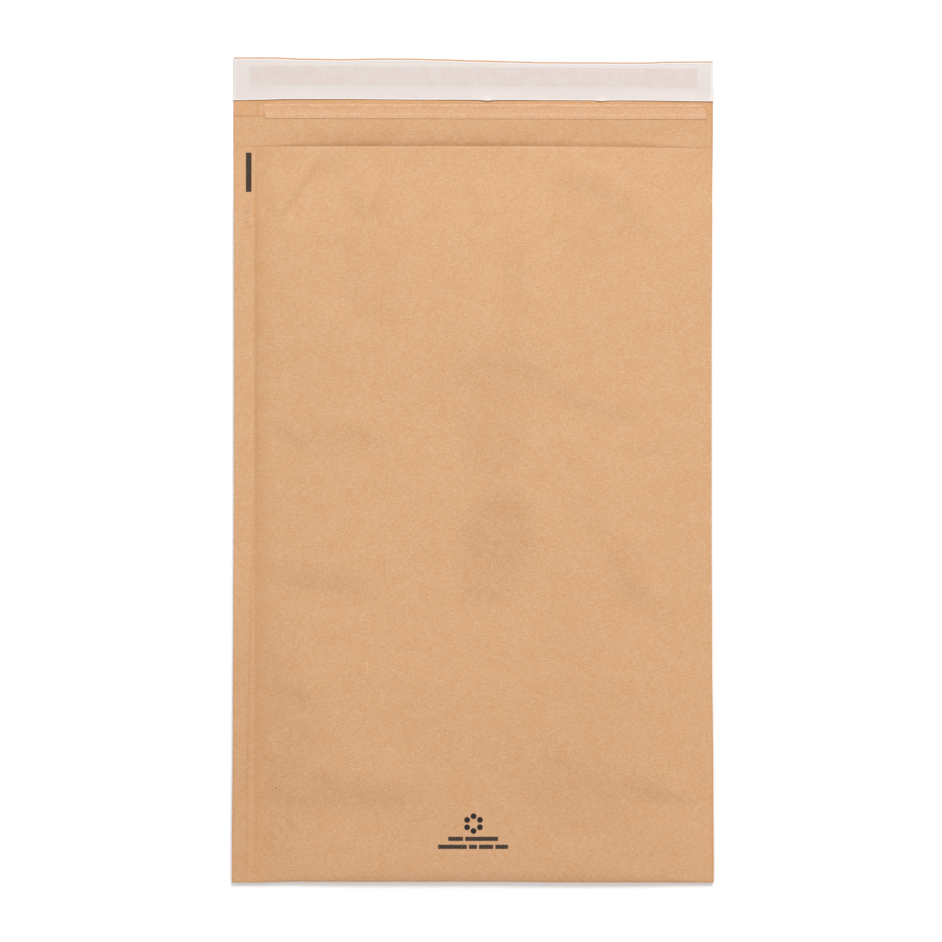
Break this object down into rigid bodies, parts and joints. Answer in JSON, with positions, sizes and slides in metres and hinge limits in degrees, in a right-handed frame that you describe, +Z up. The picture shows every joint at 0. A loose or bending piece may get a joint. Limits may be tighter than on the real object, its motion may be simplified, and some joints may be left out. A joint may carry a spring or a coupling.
{
  "type": "padded envelope",
  "caption": "Flat padded mailing envelope of kraft paper with an open flap, a covered adhesive band, a tear strip and an empty padded pocket.",
  "frame": {"origin": "middle of the underside, on the surface that the envelope lies on", "axes": "+X across the envelope, +Y along it from the bottom fold to the flap, +Z up out of the front panel"},
  "size_m": [0.2666, 0.4576, 0.0108],
  "materials": {
    "kraft_outer": "matte",
    "kraft_inner": "matte",
    "paper_fill": "matte",
    "hot_melt": "satin",
    "siliconised_paper": "satin",
    "kraft_tape": "matte"
  },
  "bodies": {
    "root": {"outer_wrapper": "kraft_outer", "inner_lining": "kraft_inner", "padding": "paper_fill", "adhesive_strip": "hot_melt", "release_liner": "siliconised_paper", "tear_strip": "kraft_tape"}
  },
  "joints": []
}
